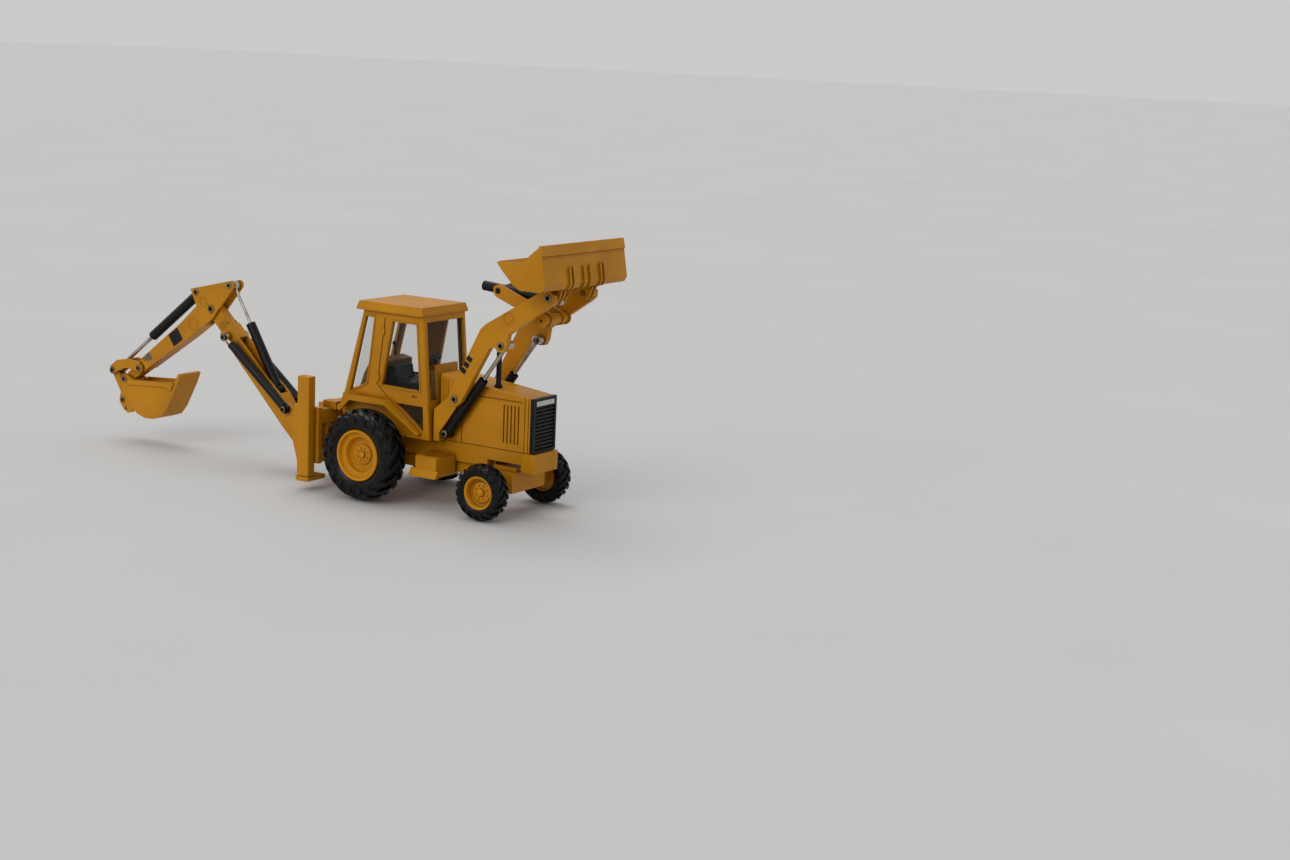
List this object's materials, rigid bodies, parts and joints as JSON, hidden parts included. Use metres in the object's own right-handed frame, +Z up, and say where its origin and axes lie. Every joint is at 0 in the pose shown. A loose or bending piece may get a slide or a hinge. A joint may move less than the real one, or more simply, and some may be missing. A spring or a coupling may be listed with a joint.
{
  "type": "toy backhoe loader",
  "caption": "Toy backhoe loader with glazed cab, lug tyres, raised front loader bucket, sliding and swinging rear digging arm, drop stabilizer legs and pinned cylinders.",
  "frame": {"origin": "on the ground under the middle of the model's overall length, on its centre plane", "axes": "+X forwards towards the loader bucket, +Y to the machine's left, +Z up"},
  "size_m": [0.1898, 0.0452, 0.0821],
  "materials": {
    "yellow_paint": "gloss",
    "rim_paint": "gloss",
    "tyre_rubber": "satin",
    "black_plastic": "satin",
    "tan_plastic": "satin",
    "clear_plastic": "gloss",
    "bright_steel": "polished",
    "rivet_metal": "satin"
  },
  "bodies": {
    "machine": {"chassis_frame": "yellow_paint", "chassis_screws": "bright_steel", "rear_axle": "bright_steel", "axle_rocking_pin": "bright_steel", "hood": "yellow_paint", "grille": "black_plastic", "exhaust_stack": "black_plastic", "cab_lower_body": "yellow_paint", "cab_frame": "yellow_paint", "cab_glazing": "clear_plastic", "cab_roof": "yellow_paint", "cab_interior": "tan_plastic", "operator_seat": "black_plastic", "steering_wheel": "black_plastic", "control_levers": "black_plastic", "step_boxes": "yellow_paint", "loader_towers": "yellow_paint", "tower_pins": "rivet_metal", "backhoe_frame": "yellow_paint", "slide_rails": "bright_steel", "stabilizer_housings": "yellow_paint"},
    "front_axle": {"front_axle_beam": "yellow_paint"},
    "rear_right_wheel": {"rear_right_tyre": "tyre_rubber", "rear_right_rim": "rim_paint"},
    "rear_left_wheel": {"rear_left_tyre": "tyre_rubber", "rear_left_rim": "rim_paint"},
    "front_right_wheel": {"front_right_tyre": "tyre_rubber", "front_right_rim": "rim_paint"},
    "front_left_wheel": {"front_left_tyre": "tyre_rubber", "front_left_rim": "rim_paint"},
    "arms": {"loader_arms": "yellow_paint", "arm_pins": "rivet_metal"},
    "lift_barrel_pair": {"lift_barrels": "black_plastic"},
    "lift_rod_pair": {"lift_rods": "bright_steel"},
    "tilt_cylinder": {"tilt_barrel": "black_plastic"},
    "tilt_piston": {"tilt_rod": "bright_steel"},
    "front_bucket": {"loader_bucket": "yellow_paint", "tilt_rod_pin": "rivet_metal"},
    "right_leg": {"stabilizer_leg_right": "yellow_paint"},
    "left_leg": {"stabilizer_leg_left": "yellow_paint"},
    "carriage": {"slide_carriage": "yellow_paint", "kingpin": "bright_steel"},
    "swing": {"swing_post": "yellow_paint", "swing_pins": "rivet_metal"},
    "hoe_boom": {"boom": "yellow_paint", "boom_pins": "rivet_metal"},
    "boom_barrel_pair": {"boom_barrels": "black_plastic"},
    "boom_rod_pair": {"boom_rods": "bright_steel"},
    "hoe_stick": {"stick": "yellow_paint", "stick_pins": "rivet_metal"},
    "stick_cylinder": {"stick_barrel": "black_plastic"},
    "stick_piston": {"stick_rod": "bright_steel"},
    "rocker": {"bucket_rocker": "yellow_paint", "rocker_pin": "rivet_metal"},
    "link": {"bucket_link": "yellow_paint"},
    "rear_bucket": {"hoe_bucket": "yellow_paint", "link_pin": "rivet_metal"},
    "bucket_cylinder": {"hoe_bucket_barrel": "black_plastic"},
    "bucket_piston": {"hoe_bucket_rod": "bright_steel"}
  },
  "joints": [
    {"name": "front_axle_rocking", "type": "hinge", "parent": "machine", "child": "front_axle", "pos_m": [0.07125, 0, 0.011], "axis": [1, 0, 0], "range_deg": [-6, 6]},
    {"name": "rear_right_wheel_spin", "type": "hinge", "parent": "machine", "child": "rear_right_wheel", "pos_m": [0.02925, -0.0186, 0.0141], "axis": [0, 1, 0], "continuous": true},
    {"name": "front_right_wheel_spin", "type": "hinge", "parent": "front_axle", "child": "front_right_wheel", "pos_m": [0.07125, -0.016, 0.0085], "axis": [0, 1, 0], "continuous": true},
    {"name": "rear_left_wheel_spin", "type": "hinge", "parent": "machine", "child": "rear_left_wheel", "pos_m": [0.02925, 0.0186, 0.0141], "axis": [0, 1, 0], "continuous": true},
    {"name": "front_left_wheel_spin", "type": "hinge", "parent": "front_axle", "child": "front_left_wheel", "pos_m": [0.07125, 0.016, 0.0085], "axis": [0, 1, 0], "continuous": true},
    {"name": "loader_arm_hinge", "type": "hinge", "parent": "machine", "child": "arms", "pos_m": [0.05665, 0, 0.0334], "axis": [0, -1, 0], "range_deg": [-80, 0]},
    {"name": "lift_barrel_hinge", "type": "hinge", "parent": "machine", "child": "lift_barrel_pair", "pos_m": [0.05175, 0, 0.022], "axis": [0, -1, 0], "range_deg": [-58, 2]},
    {"name": "lift_rod_hinge", "type": "hinge", "parent": "arms", "child": "lift_rod_pair", "pos_m": [0.07275, 0, 0.051], "axis": [0, -1, 0], "range_deg": [-2, 26]},
    {"name": "loader_bucket_hinge", "type": "hinge", "parent": "arms", "child": "front_bucket", "pos_m": [0.08865, 0, 0.0665], "axis": [0, -1, 0], "range_deg": [-90, 0]},
    {"name": "tilt_barrel_hinge", "type": "hinge", "parent": "arms", "child": "tilt_cylinder", "pos_m": [0.06565, 0, 0.0657], "axis": [0, -1, 0], "range_deg": [-2, 20]},
    {"name": "tilt_rod_hinge", "type": "hinge", "parent": "front_bucket", "child": "tilt_piston", "pos_m": [0.08465, 0, 0.0642], "axis": [0, -1, 0], "range_deg": [-2, 112]},
    {"name": "right_stabilizer_slide", "type": "slide", "parent": "machine", "child": "right_leg", "axis": [0, 0, 1], "range_m": [-0.008, 0]},
    {"name": "left_stabilizer_slide", "type": "slide", "parent": "machine", "child": "left_leg", "axis": [0, 0, 1], "range_m": [-0.008, 0]},
    {"name": "carriage_slide", "type": "slide", "parent": "machine", "child": "carriage", "axis": [0, 1, 0], "range_m": [-0.01, 0.01]},
    {"name": "swing_hinge", "type": "hinge", "parent": "carriage", "child": "swing", "pos_m": [-0.00415, 0, 0.0133], "axis": [0, 0, 1], "range_deg": [-75, 75]},
    {"name": "boom_hinge", "type": "hinge", "parent": "swing", "child": "hoe_boom", "pos_m": [-0.00925, 0, 0.0098], "axis": [0, -1, 0], "range_deg": [-38, 18]},
    {"name": "boom_barrel_hinge", "type": "hinge", "parent": "swing", "child": "boom_barrel_pair", "pos_m": [-0.01485, 0, 0.0201], "axis": [0, -1, 0], "range_deg": [-53, 26]},
    {"name": "boom_rod_hinge", "type": "hinge", "parent": "hoe_boom", "child": "boom_rod_pair", "pos_m": [-0.04065, 0, 0.0401], "axis": [0, -1, 0], "range_deg": [-14, 7]},
    {"name": "stick_hinge", "type": "hinge", "parent": "hoe_boom", "child": "hoe_stick", "pos_m": [-0.04875, 0, 0.0481], "axis": [0, -1, 0], "range_deg": [-10, 50]},
    {"name": "stick_barrel_hinge", "type": "hinge", "parent": "hoe_boom", "child": "stick_cylinder", "pos_m": [-0.02175, 0, 0.0252], "axis": [0, -1, 0], "range_deg": [-3, 9]},
    {"name": "stick_rod_hinge", "type": "hinge", "parent": "hoe_stick", "child": "stick_piston", "pos_m": [-0.04095, 0, 0.0565], "axis": [0, -1, 0], "range_deg": [-44, 10]},
    {"name": "hoe_bucket_hinge", "type": "hinge", "parent": "hoe_stick", "child": "rear_bucket", "pos_m": [-0.08695, 0, 0.0207], "axis": [0, -1, 0], "range_deg": [-80, 0]},
    {"name": "rocker_hinge", "type": "hinge", "parent": "hoe_stick", "child": "rocker", "pos_m": [-0.08135, 0, 0.0249], "axis": [0, -1, 0], "range_deg": [-39, 2]},
    {"name": "link_hinge", "type": "hinge", "parent": "rocker", "child": "link", "pos_m": [-0.09355, 0, 0.0228], "axis": [0, -1, 0], "range_deg": [-8, 2]},
    {"name": "hoe_barrel_hinge", "type": "hinge", "parent": "hoe_stick", "child": "bucket_cylinder", "pos_m": [-0.05535, 0, 0.053], "axis": [0, -1, 0], "range_deg": [-9, 2]},
    {"name": "hoe_rod_hinge", "type": "hinge", "parent": "rocker", "child": "bucket_piston", "pos_m": [-0.09355, 0, 0.0228], "axis": [0, -1, 0], "range_deg": [-2, 32]}
  ],
  "couplings": [
    {"joint": "lift_barrel_hinge", "follows": "loader_arm_hinge", "ratio": 0.701},
    {"joint": "lift_rod_hinge", "follows": "loader_arm_hinge", "ratio": -0.299},
    {"joint": "tilt_barrel_hinge", "follows": "loader_bucket_hinge", "ratio": -0.209},
    {"joint": "tilt_rod_hinge", "follows": "loader_bucket_hinge", "ratio": -1.209},
    {"joint": "boom_barrel_hinge", "follows": "boom_hinge", "ratio": 1.329},
    {"joint": "boom_rod_hinge", "follows": "boom_hinge", "ratio": 0.329},
    {"joint": "stick_barrel_hinge", "follows": "stick_hinge", "ratio": 0.149},
    {"joint": "stick_rod_hinge", "follows": "stick_hinge", "ratio": -0.851},
    {"joint": "rocker_hinge", "follows": "hoe_bucket_hinge", "ratio": 0.463},
    {"joint": "link_hinge", "follows": "hoe_bucket_hinge", "ratio": 0.08},
    {"joint": "hoe_barrel_hinge", "follows": "hoe_bucket_hinge", "ratio": 0.0917},
    {"joint": "hoe_rod_hinge", "follows": "hoe_bucket_hinge", "ratio": -0.3713}
  ]
}
